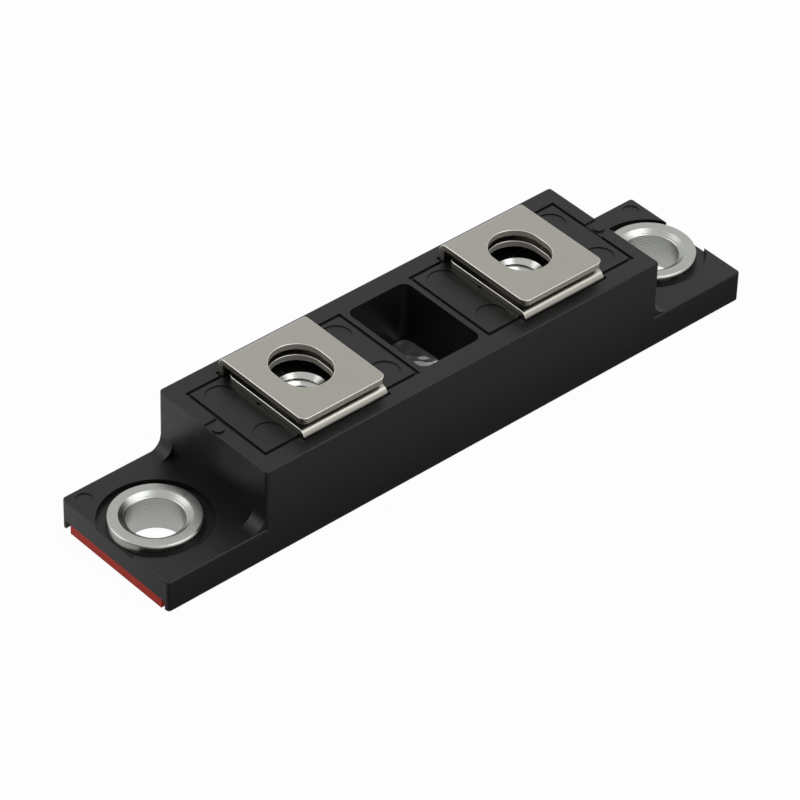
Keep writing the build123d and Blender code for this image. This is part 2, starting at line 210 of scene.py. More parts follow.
lamp_data = bpy.data.lights.new("overhead lamp", "AREA")
lamp_data.shape = "RECTANGLE"
lamp_data.size, lamp_data.size_y = LAMP_WIDTH * MM, LAMP_DEPTH * MM
lamp_data.energy = LAMP_WATTS
lamp = bpy.data.objects.new("overhead lamp", lamp_data)
facing = LAMP_PLACE.to_track_quat("Z", "Y").to_matrix().to_4x4()
lamp.matrix_world = Matrix.Translation(LAMP_PLACE * MM) @ facing
bpy.context.scene.collection.objects.link(lamp)
print("lamp shines at", round(LAMP_WATTS / (pi * lamp_data.size * lamp_data.size_y), 2), "times white")

# %% [markdown]
# Metal mirrors the room, so mirrored rays see the same white as the camera does. Low on the left they
# see a painted shade instead, a dark card that is there only in mirrors, so that a pale part shows
# where the metal's faces turn from each other. Behind on the left they see a painted highlight, a
# small bright window that is there only in mirrors, which glints in the eyelets' mouths. The world's
# Generated coordinates are the way that a ray goes, as a vector of length 1, so card and window are
# ranges of its parts.

# %% Painted card and window, seen only in mirrors
# The card is a painted shade: it darkens only what mirrors see, low on the left.
PAINTED_CARD_SHARE = 0.85               # the share of the white that the card takes
# Each edge of the painted card: the part of the way that it bounds, where it starts and where it is full.
PAINTED_CARD_EDGES = ((0, -0.6, -0.75), (2, 0.6, 0.45), (1, 0.45, 0.3))
PAINTED_WINDOW_WAY, PAINTED_WINDOW_START, PAINTED_WINDOW_FULL, PAINTED_WINDOW_GAIN = (-0.63, 0.57, 0.53), 0.9, 0.96, 1.4

world = bpy.data.worlds.new("pale room")
world.use_nodes = True
bpy.context.scene.world = world
tree = world.node_tree
tree.nodes.clear()
rays = add_node(tree, "ShaderNodeLightPath")
mirrored = add_node(tree, "ShaderNodeMath", {
    0: rays.outputs["Is Glossy Ray"], 1: rays.outputs["Is Transmission Ray"]}, operation="MAXIMUM")
way = add_node(tree, "ShaderNodeTexCoord").outputs["Generated"]
parts = add_node(tree, "ShaderNodeSeparateXYZ", {0: way})
painted_card = mirrored
for part, start, full in PAINTED_CARD_EDGES:
    inside = add_node(tree, "ShaderNodeMapRange", {
        "Value": parts.outputs[part], "From Min": start, "From Max": full})
    painted_card = add_node(tree, "ShaderNodeMath", {0: painted_card.outputs[0], 1: inside.outputs[0]}, operation="MULTIPLY")
shaded = add_node(tree, "ShaderNodeMath", {
    0: painted_card.outputs[0], 1: -PAINTED_CARD_SHARE, 2: 1.0}, operation="MULTIPLY_ADD")
towards = add_node(tree, "ShaderNodeVectorMath", {0: way, 1: PAINTED_WINDOW_WAY}, operation="DOT_PRODUCT")
painted_window = add_node(tree, "ShaderNodeMapRange", {
    "Value": towards.outputs["Value"], "From Min": PAINTED_WINDOW_START, "From Max": PAINTED_WINDOW_FULL,
    "To Max": PAINTED_WINDOW_GAIN})
lit = add_node(tree, "ShaderNodeMath", {
    0: painted_window.outputs[0], 1: mirrored.outputs[0], 2: shaded.outputs[0]}, operation="MULTIPLY_ADD")
print("the card takes", PAINTED_CARD_SHARE, "of the white and the window adds", PAINTED_WINDOW_GAIN)

# %% [markdown]
# A pale room fills in what the lamp leaves dark. Lamp and room together light an upward face at about
# strength 1, at which a colour looks as it is written. The rays that only carry light get the room's
# own strength, the camera's rays get the white, and mirrored rays get the white with its painted card
# and window.

# %% Room
ROOM_LIGHT = 0.62

seen = add_node(tree, "ShaderNodeMath", {
    0: rays.outputs["Is Camera Ray"], 1: mirrored.outputs[0]}, operation="MAXIMUM")
room = add_node(tree, "ShaderNodeBackground", {"Color": (1, 1, 1, 1), "Strength": ROOM_LIGHT})
backdrop = add_node(tree, "ShaderNodeBackground", {"Color": (1, 1, 1, 1), "Strength": lit.outputs[0]})
mix = add_node(tree, "ShaderNodeMixShader", {0: seen.outputs[0], 1: room.outputs[0], 2: backdrop.outputs[0]})
add_node(tree, "ShaderNodeOutputWorld", {0: mix.outputs[0]})
print("room light", ROOM_LIGHT)

# %% [markdown]
# ## Moulded plastic
# The body is black glass-filled polyester, moulded in a spark-eroded steel mould. The mould leaves
# an even satin grain of about 0.05 mm, too fine to show here, so it is drawn at 0.2 mm. Slow waves in
# the gloss, some 8 mm long, stand for the way the melt flowed. Noise gives both. The grain scatters
# the light, so less of it comes back as a mirror image than from a smooth plastic of the same IOR.

# %% Moulded plastic
PLASTIC_GRAIN = 0.2
MELT_FLOW = 8.0


def moulded_plastic():
    material, tree = new_material("glass-filled polyester, black, spark-eroded mould finish")
    point = add_node(tree, "ShaderNodeTexCoord").outputs["Object"]
    grain = add_node(tree, "ShaderNodeTexNoise", {
        "Vector": point, "Scale": 1 / (PLASTIC_GRAIN * MM), "Detail": 2.0, "Roughness": 0.6})
    flow = add_node(tree, "ShaderNodeTexNoise", {
        "Vector": point, "Scale": 1 / (MELT_FLOW * MM), "Detail": 3.0, "Roughness": 0.55, "Distortion": 0.6})
    gloss = add_node(tree, "ShaderNodeMapRange", {
        "Value": flow.outputs[0], "From Min": 0.3, "From Max": 0.7, "To Min": 0.33, "To Max": 0.43})
    tone = add_node(tree, "ShaderNodeMix", {
        0: flow.outputs[0], 6: linear("#100f0f"), 7: linear("#161615")}, data_type="RGBA")
    relief = add_node(tree, "ShaderNodeBump", {
        "Height": grain.outputs[0], "Distance": 0.012 * MM, "Strength": 1.0})
    shader = add_node(tree, "ShaderNodeBsdfPrincipled", {
        "Base Color": tone.outputs[2], "Roughness": gloss.outputs[0], "IOR": 1.5,
        "Specular IOR Level": 0.3, "Normal": relief.outputs[0]})
    add_node(tree, "ShaderNodeOutputMaterial", {0: shader.outputs[0]})
    return material


plastic = moulded_plastic()
print("made", plastic.name)

# %% [markdown]
# ## Tinned strip
# Each terminal is a folded copper strip with a matt tin plate. Rolling leaves fine lines along the
# strip, about 0.1 mm apart, and the tin dulls them to a soft warm grey with a few small specks. Noise
# stretched along the strip gives the lines, and a cell pattern gives the specks. The strip's edges
# were cut: its sides are blanked in a press, which scores them upright, while its free end and its
# hole are torn through, which leaves them paler and duller. The rounded corners are paler still, a
# painted highlight that shows them as thin bright lines. One recipe with upright scores serves all three.

# %% Tinned strip
ROLLING_LINE = 0.12
LINE_STRETCH = 0.03             # a rolled line is some thirty times as long as it is wide
TIN_CLOUD = 3.0                 # from one dull patch of the tin to the next
TIN_SPECK = 1.6                 # from one speck to the next


def tinned_strip():
    material, tree = new_material("copper strip, rolled, matt tin plate")
    point = add_node(tree, "ShaderNodeTexCoord").outputs["Object"]
    along = add_node(tree, "ShaderNodeMapping", {
        "Vector": point, "Scale": (1.0, LINE_STRETCH, LINE_STRETCH)})
    lines = add_node(tree, "ShaderNodeTexNoise", {
        "Vector": along.outputs[0], "Scale": 1 / (ROLLING_LINE * MM), "Detail": 2.0, "Roughness": 0.5})
    cloud = add_node(tree, "ShaderNodeTexNoise", {
        "Vector": point, "Scale": 1 / (TIN_CLOUD * MM), "Detail": 3.0, "Roughness": 0.6})
    cells = add_node(tree, "ShaderNodeTexVoronoi", {"Vector": point, "Scale": 1 / (TIN_SPECK * MM)})
    speck = add_node(tree, "ShaderNodeMapRange", {
        "Value": cells.outputs["Distance"], "From Min": 0.03, "From Max": 0.09,
        "To Min": 0.35, "To Max": 0.0})
    tone = add_node(tree, "ShaderNodeMix", {
        0: cloud.outputs[0], 6: linear("#9e9c93"), 7: linear("#a5a39b")}, data_type="RGBA")
    specked = add_node(tree, "ShaderNodeMix", {
        0: speck.outputs[0], 6: tone.outputs[2], 7: linear("#6e6b63")}, data_type="RGBA")
    gloss = add_node(tree, "ShaderNodeMapRange", {
        "Value": cloud.outputs[0], "From Min": 0.3, "From Max": 0.7, "To Min": 0.27, "To Max": 0.34})
    relief = add_node(tree, "ShaderNodeBump", {
        "Height": lines.outputs[0], "Distance": 0.0015 * MM, "Strength": 1.0})
    shader = add_node(tree, "ShaderNodeBsdfPrincipled", {
        "Base Color": specked.outputs[2], "Metallic": 1.0, "Roughness": gloss.outputs[0],
        "Normal": relief.outputs[0]})
    add_node(tree, "ShaderNodeOutputMaterial", {0: shader.outputs[0]})
    return material


tin = tinned_strip()
print("made", tin.name)

# %% Cut edges of the strip
SHEAR_SCORE = 0.15
SCORE_STRETCH = 0.08            # a score is some twelve times as long as it is wide


def cut_edge(state, roughness, dark, pale):
    """The finish of one kind of cut edge, between a dark and a pale colour."""
    material, tree = new_material("copper strip, " + state + " edge, matt tin plate")
    point = add_node(tree, "ShaderNodeTexCoord").outputs["Object"]
    upright = add_node(tree, "ShaderNodeMapping", {"Vector": point, "Scale": (1.0, 1.0, SCORE_STRETCH)})
    scores = add_node(tree, "ShaderNodeTexNoise", {
        "Vector": upright.outputs[0], "Scale": 1 / (SHEAR_SCORE * MM), "Detail": 2.0, "Roughness": 0.6})
    tone = add_node(tree, "ShaderNodeMix", {
        0: scores.outputs[0], 6: linear(dark), 7: linear(pale)}, data_type="RGBA")
    relief = add_node(tree, "ShaderNodeBump", {
        "Height": scores.outputs[0], "Distance": 0.01 * MM, "Strength": 1.0})
    shader = add_node(tree, "ShaderNodeBsdfPrincipled", {
        "Base Color": tone.outputs[2], "Metallic": 1.0, "Roughness": roughness,
        "Normal": relief.outputs[0]})
    add_node(tree, "ShaderNodeOutputMaterial", {0: shader.outputs[0]})
    return material


blanked_edge = cut_edge("blanked", 0.4, "#96928a", "#a6a299")
torn_edge = cut_edge("torn", 0.62, "#b0aca3", "#bfbbb2")
# The bevels' paler colour is a painted highlight, which makes the rounded corners show as bright lines.
painted_highlight_edge = cut_edge("highlight-painted", 0.3, "#c4c2bb", "#d4d2cb")
print("made", blanked_edge.name + ",", torn_edge.name, "and", painted_highlight_edge.name)

# %% [markdown]
# ## Turned and plated steel
# The eyelets are turned from steel and nickel plated. The tool leaves rings on the flange, about
# 0.1 mm apart, drawn here at 0.3 mm so that they show. Boring leaves deeper marks, one above another,
# so the finish asks how far a point is from the axis and adds bands along it inside the bore. A ring
# pattern needs its centre in the middle of the bore, so a Mapping node moves it there, and each
# eyelet has a finish of its own.

# %% Eyelet finish
TOOL_RING = 0.3
BORING_MARK = 0.25
BORING_DEPTH = 6.0              # times as deep as the rings on the flange
BORED_TO, RINGED_FROM = 3.7, 4.0        # mm from the axis
NICKEL_CLOUD = 1.5              # from one dull patch of the nickel to the next


def turned_steel(side, centre):
    material, tree = new_material("steel, turned, nickel plated, " + side)
    point = add_node(tree, "ShaderNodeTexCoord").outputs["Object"]
    centred = add_node(tree, "ShaderNodeMapping", {
        "Vector": point, "Location": (-centre[0], -centre[1], 0.0)})
    rings = add_node(tree, "ShaderNodeTexWave", {
        "Vector": centred.outputs[0], "Scale": pi / (10 * TOOL_RING * MM), "Distortion": 0.6,
        "Detail": 2.0, "Detail Scale": 0.4}, wave_type="RINGS", rings_direction="Z")
    turns = add_node(tree, "ShaderNodeTexWave", {
        "Vector": point, "Scale": pi / (10 * BORING_MARK * MM), "Distortion": 0.4,
        "Detail": 1.0, "Detail Scale": 0.3}, wave_type="BANDS", bands_direction="Z")
    across = add_node(tree, "ShaderNodeVectorMath", {
        0: centred.outputs[0], 1: (1, 1, 0)}, operation="MULTIPLY")
    radius = add_node(tree, "ShaderNodeVectorMath", {0: across.outputs[0]}, operation="LENGTH")
    bored = add_node(tree, "ShaderNodeMapRange", {
        "Value": radius.outputs["Value"], "From Min": BORED_TO * MM, "From Max": RINGED_FROM * MM,
        "To Min": BORING_DEPTH, "To Max": 0.0})
    marks = add_node(tree, "ShaderNodeMath", {
        0: turns.outputs[1], 1: bored.outputs[0], 2: rings.outputs[1]}, operation="MULTIPLY_ADD")
    cloud = add_node(tree, "ShaderNodeTexNoise", {
        "Vector": point, "Scale": 1 / (NICKEL_CLOUD * MM), "Detail": 3.0, "Roughness": 0.6})
    tone = add_node(tree, "ShaderNodeMix", {
        0: cloud.outputs[0], 6: linear("#9fa19c"), 7: linear("#aeb0ac")}, data_type="RGBA")
    gloss = add_node(tree, "ShaderNodeMapRange", {
        "Value": cloud.outputs[0], "From Min": 0.3, "From Max": 0.7, "To Min": 0.24, "To Max": 0.34})
    relief = add_node(tree, "ShaderNodeBump", {
        "Height": marks.outputs[0], "Distance": 0.003 * MM, "Strength": 1.0})
    shader = add_node(tree, "ShaderNodeBsdfPrincipled", {
        "Base Color": tone.outputs[2], "Metallic": 1.0, "Roughness": gloss.outputs[0],
        "Normal": relief.outputs[0]})
    add_node(tree, "ShaderNodeOutputMaterial", {0: shader.outputs[0]})
    return material


def centre_of(name):
    """The middle of a node's box."""
    low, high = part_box(name)
    return (Vector(low) + Vector(high)) / 2


eyelet_steel = {side: turned_steel(side, centre_of("mounting_eyelet_" + side)) for side in SIDES}
print("made", [material.name for material in eyelet_steel.values()])

# %% [markdown]
# ## Zinc and copper
# The nuts are cold formed and zinc plated, which leaves a bright, slightly cloudy skin. The copper
# plate is rolled. Heat has turned its cut edges brick red, a thin oxide that hides the metal's shine,
# while the flat faces stay bare, so the finish asks which way the surface faces.

# %% Zinc plated nut
ZINC_CLOUD = 0.6                # the crystals are finer, and drawn this coarse to show


def zinc_plated():
    material, tree = new_material("steel, cold formed, zinc plated")
    point = add_node(tree, "ShaderNodeTexCoord").outputs["Object"]
    cloud = add_node(tree, "ShaderNodeTexNoise", {
        "Vector": point, "Scale": 1 / (ZINC_CLOUD * MM), "Detail": 3.0, "Roughness": 0.6})
    tone = add_node(tree, "ShaderNodeMix", {
        0: cloud.outputs[0], 6: linear("#a6a8a5"), 7: linear("#b8bab6")}, data_type="RGBA")
    gloss = add_node(tree, "ShaderNodeMapRange", {
        "Value": cloud.outputs[0], "From Min": 0.3, "From Max": 0.7, "To Min": 0.15, "To Max": 0.28})
    relief = add_node(tree, "ShaderNodeBump", {
        "Height": cloud.outputs[0], "Distance": 0.006 * MM, "Strength": 1.0})
    shader = add_node(tree, "ShaderNodeBsdfPrincipled", {
        "Base Color": tone.outputs[2], "Metallic": 1.0, "Roughness": gloss.outputs[0],
        "Normal": relief.outputs[0]})
    add_node(tree, "ShaderNodeOutputMaterial", {0: shader.outputs[0]})
    return material


zinc = zinc_plated()
print("made", zinc.name)

# %% Copper plate
PLATE_LINE = 0.15
OXIDE_CLOUD = 2.5               # from one dark patch of the oxide to the next


def oxidised_copper():
    material, tree = new_material("copper plate, rolled, edges oxidised brick red")
    point = add_node(tree, "ShaderNodeTexCoord").outputs["Object"]
    along = add_node(tree, "ShaderNodeMapping", {"Vector": point, "Scale": (LINE_STRETCH, 1.0, 1.0)})
    lines = add_node(tree, "ShaderNodeTexNoise", {
        "Vector": along.outputs[0], "Scale": 1 / (PLATE_LINE * MM), "Detail": 2.0, "Roughness": 0.5})
    cloud = add_node(tree, "ShaderNodeTexNoise", {
        "Vector": point, "Scale": 1 / (OXIDE_CLOUD * MM), "Detail": 4.0, "Roughness": 0.65})
    facing = add_node(tree, "ShaderNodeSeparateXYZ", {
        0: add_node(tree, "ShaderNodeNewGeometry").outputs["True Normal"]})
    level = add_node(tree, "ShaderNodeMath", {0: facing.outputs[2]}, operation="ABSOLUTE")
    bare = add_node(tree, "ShaderNodeMapRange", {
        "Value": level.outputs[0], "From Min": 0.5, "From Max": 0.9, "To Min": 0.0, "To Max": 1.0})
    oxide = add_node(tree, "ShaderNodeMix", {
        0: cloud.outputs[0], 6: linear("#c43a28"), 7: linear("#ab322c")}, data_type="RGBA")
    metal = add_node(tree, "ShaderNodeMix", {
        0: cloud.outputs[0], 6: linear("#d9957b"), 7: linear("#c47f66")}, data_type="RGBA")
    relief = add_node(tree, "ShaderNodeBump", {
        "Height": lines.outputs[0], "Distance": 0.004 * MM, "Strength": 1.0})
    skin = add_node(tree, "ShaderNodeBsdfPrincipled", {
        "Base Color": oxide.outputs[2], "Roughness": 0.6, "IOR": 1.6,
        "Specular IOR Level": 0.2, "Normal": relief.outputs[0]})
    plate = add_node(tree, "ShaderNodeBsdfPrincipled", {
        "Base Color": metal.outputs[2], "Metallic": 1.0, "Roughness": 0.3, "Normal": relief.outputs[0]})
    both = add_node(tree, "ShaderNodeMixShader", {
        0: bare.outputs[0], 1: skin.outputs[0], 2: plate.outputs[0]})
    add_node(tree, "ShaderNodeOutputMaterial", {0: both.outputs[0]})
    return material


copper = oxidised_copper()
print("made", copper.name)

# %% [markdown]
# ## Solder, molybdenum and silicon
# The layers of each diode are flat plates with solder between them. All of them are dull or
# polished metals, so one recipe serves: a colour that drifts, a gloss and a grain of its own size.

# %% Metals of the layers
def layer_metal(name, dark, pale, roughness, grain_mm, depth_mm):
    """A metal whose colour and relief follow one grain."""
    material, tree = new_material(name)
    point = add_node(tree, "ShaderNodeTexCoord").outputs["Object"]
    grain = add_node(tree, "ShaderNodeTexNoise", {
        "Vector": point, "Scale": 1 / (grain_mm * MM), "Detail": 3.0, "Roughness": 0.6})
    tone = add_node(tree, "ShaderNodeMix", {
        0: grain.outputs[0], 6: linear(dark), 7: linear(pale)}, data_type="RGBA")
    relief = add_node(tree, "ShaderNodeBump", {
        "Height": grain.outputs[0], "Distance": depth_mm * MM, "Strength": 1.0})
    shader = add_node(tree, "ShaderNodeBsdfPrincipled", {
        "Base Color": tone.outputs[2], "Metallic": 1.0, "Roughness": roughness,
        "Normal": relief.outputs[0]})
    add_node(tree, "ShaderNodeOutputMaterial", {0: shader.outputs[0]})
    return material


solder = layer_metal("soft solder, reflowed", "#8a8a8d", "#a3a3a5", 0.32, 0.8, 0.01)
molybdenum = layer_metal("molybdenum plate, rolled", "#7b7b7e", "#8c8c8f", 0.38, 0.3, 0.004)
silicon = layer_metal("silicon, polished, metallised", "#54565c", "#63656b", 0.12, 2.0, 0.0005)
print("made", solder.name + ",", molybdenum.name, "and", silicon.name)

# %% [markdown]
# ## Adhesive and potting
# A grey silicone adhesive seals the plate in the skirt: matt, and slightly lumpy where it was pressed
# out. The potting is a clear silicone gel, poured over the diodes and their tinned feet. Little light
# gets down to it. What comes back is a soft grey glint of the metal below, under a skin as smooth as
# glass, so the finish is a cloudy metal with a clear coat.

# %% Adhesive
BEAD_LUMP = 0.9                 # from one lump of the bead to the next


def silicone_adhesive():
    material, tree = new_material("silicone adhesive, grey, cured bead")
    point = add_node(tree, "ShaderNodeTexCoord").outputs["Object"]
    lumps = add_node(tree, "ShaderNodeTexNoise", {
        "Vector": point, "Scale": 1 / (BEAD_LUMP * MM), "Detail": 3.0, "Roughness": 0.6})
    tone = add_node(tree, "ShaderNodeMix", {
        0: lumps.outputs[0], 6: linear("#2b2b2c"), 7: linear("#3c3c3d")}, data_type="RGBA")
    relief = add_node(tree, "ShaderNodeBump", {
        "Height": lumps.outputs[0], "Distance": 0.1 * MM, "Strength": 1.0})
    shader = add_node(tree, "ShaderNodeBsdfPrincipled", {
        "Base Color": tone.outputs[2], "Roughness": 0.55, "IOR": 1.41, "Normal": relief.outputs[0]})
    add_node(tree, "ShaderNodeOutputMaterial", {0: shader.outputs[0]})
    return material


adhesive = silicone_adhesive()
print("made", adhesive.name)

# %% Gel
GEL_CLOUD = 1.2                 # from one bright patch of the metal below to the next


def silicone_gel():
    material, tree = new_material("silicone gel, clear, poured over tinned copper")
    point = add_node(tree, "ShaderNodeTexCoord").outputs["Object"]
    cloud = add_node(tree, "ShaderNodeTexNoise", {
        "Vector": point, "Scale": 1 / (GEL_CLOUD * MM), "Detail": 3.0, "Roughness": 0.6})
    tone = add_node(tree, "ShaderNodeMix", {
        0: cloud.outputs[0], 6: linear("#6c6c6a"), 7: linear("#a2a29f")}, data_type="RGBA")
    relief = add_node(tree, "ShaderNodeBump", {
        "Height": cloud.outputs[0], "Distance": 0.03 * MM, "Strength": 1.0})
    shader = add_node(tree, "ShaderNodeBsdfPrincipled", {
        "Base Color": tone.outputs[2], "Metallic": 0.6, "Roughness": 0.17, "Normal": relief.outputs[0],
        "Coat Weight": 1.0, "Coat Roughness": 0.03, "Coat IOR": 1.41})
    add_node(tree, "ShaderNodeOutputMaterial", {0: shader.outputs[0]})
    return material


gel = silicone_gel()
print("made", gel.name)

# %% [markdown]
# ## Dressing the solids
# A solid whose shape is right only gets its finish. Each name in the table is the start of a node's
# name, so both ends of the module share one line.

# %% Dress the solids
finishes = {
    "housing": plastic, "baseplate": copper, "adhesive": adhesive, "potting": gel,
    "mounting_eyelet_left": eyelet_steel["left"], "mounting_eyelet_right": eyelet_steel["right"],
    "upper_strap": tin, "lower_strap": tin, "terminal_nut": zinc, "base_solder": solder,
    "buffer_plate": molybdenum, "die_solder": solder, "schottky_die": silicon, "cap_solder": solder,
    "cap_plate": molybdenum, "foot_solder": solder}
for name, node in nodes.items():
    finish = next(material for start, material in finishes.items() if name.startswith(start))
    node.data.materials.clear()
    node.data.materials.append(finish)
print("dressed", len(nodes), "solids")

# %% [markdown]
# ## Straps with softened edges
# The strips were blanked in a press, which rounds one edge of each cut and leaves the other nearly
# sharp. In the solids every edge is perfectly sharp and so catches no light at all. A copy of each
# strap is merged, its flat faces are joined, and a small bevel rounds its edges: 0.09 mm shows as a
# thin bright line. The copy stands for the solid. The faces of its cut edges, found by where they
# face and how far they are from the hole's axis, get the finishes of a cut edge.

# %% Helpers for pieces
MERGE_DISTANCE = 0.002          # mm, far less than any real edge is long
FLAT_ANGLE = 0.6                # degrees, faces that turn less from each other become one


def merged_copy(node_name):
    """A copy of a solid's mesh, merged from loose triangles, with its flat faces joined."""
    mesh = nodes[node_name].data.copy()
    shape = bmesh.new()
    shape.from_mesh(mesh)
    bmesh.ops.remove_doubles(shape, verts=shape.verts, dist=MERGE_DISTANCE * MM)
    bmesh.ops.dissolve_limit(shape, angle_limit=radians(FLAT_ANGLE), verts=shape.verts, edges=shape.edges)
    shape.to_mesh(mesh)
    shape.free()
    if "custom_normal" in mesh.attributes:      # the loose triangles' normals don't fit the joined faces
        mesh.attributes.remove(mesh.attributes["custom_normal"])
    return mesh


def add_piece(name, mesh, finish):
    """A new piece in the scene that rides on the module."""
    mesh.materials.clear()
    mesh.materials.append(finish)
    piece = bpy.data.objects.new(name, mesh)
    bpy.context.scene.collection.objects.link(piece)
    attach(piece, "root")
    return piece


def keep_result(piece):
    """Makes what the piece's modifiers give its own plain mesh, and removes the modifiers."""
    result = bpy.data.meshes.new_from_object(piece.evaluated_get(bpy.context.evaluated_depsgraph_get()))
    piece.modifiers.clear()
    piece.data = result


def open_edges(mesh):
    """How many edges don't join exactly two faces. A closed piece has none."""
    shape = bmesh.new()
    shape.from_mesh(mesh)
    count = sum(1 for edge in shape.edges if len(edge.link_faces) != 2)
    shape.free()
    return count


# %% Straps
STRAP_EDGE, BEVEL_STEPS, BEVEL_ANGLE = 0.09, 2, 40
HOLE_REACH, END_REACH = 4.6, 0.05       # mm from the hole's axis and from the free end
UPRIGHT, SQUARE = 0.3, 0.9              # a wall's normal rises less, and a side's faces out by more
BLANKED, TORN, PAINTED_HIGHLIGHT = 1, 2, 3         # places in the strap's list of finishes, after the tin

for level in ("upper", "lower"):
    for side in SIDES:
        node_name = level + "_strap_" + side
        mesh = merged_copy(node_name)
        mesh.shade_smooth()
        strap = add_piece(level + "_strap_soft_" + side, mesh, tin)
        for finish in (blanked_edge, torn_edge, painted_highlight_edge):
            mesh.materials.append(finish)
        axis = centre_of("terminal_nut_" + side)
        end = min(face.center.y for face in mesh.polygons)
        for face in mesh.polygons:
            at_end = face.center.y < end + END_REACH * MM and face.normal.y < -SQUARE
            if abs(face.normal.z) < UPRIGHT and (face.center - axis).xy.length < HOLE_REACH * MM:
                face.material_index = TORN
            elif level == "upper" and abs(face.normal.x) > SQUARE:
                face.material_index = BLANKED
            elif level == "upper" and at_end:
                face.material_index = TORN
        # The bevel takes the palest finish, a painted highlight along the rounded edges.
        bevel = strap.modifiers.new("soft edges", "BEVEL")
        bevel.width, bevel.segments, bevel.material = STRAP_EDGE * MM, BEVEL_STEPS, PAINTED_HIGHLIGHT
        bevel.limit_method, bevel.angle_limit = "ANGLE", radians(BEVEL_ANGLE)
        bevel.harden_normals = True
        keep_result(strap)
        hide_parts(node_name)
        print(strap.name, len(strap.data.polygons), "faces,", open_edges(strap.data), "open edges")

# %% [markdown]
# ## Eyelets
# Each eyelet is a turned tube with a flange on top. Its outer edge is rolled over in a soft curve, so
# it mirrors the room from straight up to the horizon. Below that curve the lip widens a little down
# to its seat, which catches a bright line, and its mouth is countersunk. A lathe makes it from one
# outline, so here the outline is turned round the bore's axis in the same way.

# %% Lathe
TURNING_STEPS = 144
SHARP_TURN = 28                 # degrees, an edge that turns more stays sharp


def turned_mesh(name, centre, outline):
    """Turns a closed outline of (radius, height) points, in millimetres, round an upright axis."""
    mesh = bpy.data.meshes.new(name)
    shape = bmesh.new()
    columns = []
    for step in range(TURNING_STEPS):
        angle = 2 * pi * step / TURNING_STEPS
        columns.append([shape.verts.new((
            centre[0] + radius * MM * cos(angle), centre[1] + radius * MM * sin(angle), height * MM))
            for radius, height in outline])
    for step in range(TURNING_STEPS):
        this, following = columns[step], columns[(step + 1) % TURNING_STEPS]
        for i in range(len(outline)):
            j = (i + 1) % len(outline)
            shape.faces.new((this[i], this[j], following[j], following[i]))
    bmesh.ops.recalc_face_normals(shape, faces=shape.faces)
    shape.to_mesh(mesh)
    shape.free()
    mesh.shade_smooth()
    mesh.set_sharp_from_angle(angle=radians(SHARP_TURN))
    return mesh


def arc(centre_radius, centre_height, radius, start, end, steps):
    """Points on a round from one angle to another, in degrees, as a part of an outline."""
    angles = [radians(start + (end - start) * i / steps) for i in range(steps + 1)]
    return [(centre_radius + radius * cos(a), centre_height + radius * sin(a)) for a in angles]


print("lathe with", TURNING_STEPS, "steps")

# %% Eyelets
BORE, MOUTH, MOUTH_DEPTH, TUBE = 3.6, 4.35, 0.55, 4.7       # three radii and a depth
SEAT = 4.0                      # mm above the floor, where the flange meets the ear
ROLLED_EDGE, LIP_TAPER, SMALL_ROUND, CHAMFER = 0.36, 0.1, 0.1, 0.12

for side in SIDES:
    node_name = "mounting_eyelet_" + side
    low, high = (Vector(corner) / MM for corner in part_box(node_name))
    flange, top = (high.x - low.x) / 2, high.z
    outline = (
        [(BORE, CHAMFER), (BORE, top - MOUTH_DEPTH)]
        + arc(MOUTH + SMALL_ROUND, top - SMALL_ROUND, SMALL_ROUND, 135, 90, 3)
        + arc(flange - LIP_TAPER - ROLLED_EDGE, top - ROLLED_EDGE, ROLLED_EDGE, 90, 10, 9)
        + arc(flange - SMALL_ROUND, SEAT + SMALL_ROUND, SMALL_ROUND, 10, -90, 4)
        + [(TUBE, SEAT), (TUBE, CHAMFER), (TUBE - CHAMFER, 0.0), (BORE + CHAMFER, 0.0)])
    mesh = turned_mesh("eyelet_" + side, centre_of(node_name), outline)
    eyelet = add_piece("eyelet_" + side, mesh, eyelet_steel[side])
    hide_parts(node_name)
    print(eyelet.name, len(eyelet.data.polygons), "faces,", open_edges(eyelet.data), "open edges")

# %% [markdown]
# ## Nuts with a real thread
# A quarter-inch nut has twenty threads to the inch. A tap cuts them: where it has turned, the wall of
# the bore steps back from the crest to the root, and a countersink opens both mouths. Geometry Nodes
# do the same to a plain wall. They ask every point of it for its height and its angle round the axis,
# work out how deep the tap has cut there, and move the point out by that much.

# %% Thread tree
PITCH, THREAD_CREST, THREAD_ROOT, THREAD_MOUTH = 1.27, 2.6, 3.175, 3.38     # mm, three of them radii
CREST_SHARE, ROOT_SHARE = 0.16, 0.14    # how much of the way from crest to root is flat at each
FIRST_TURN = -0.3                       # where the thread starts, in half turns


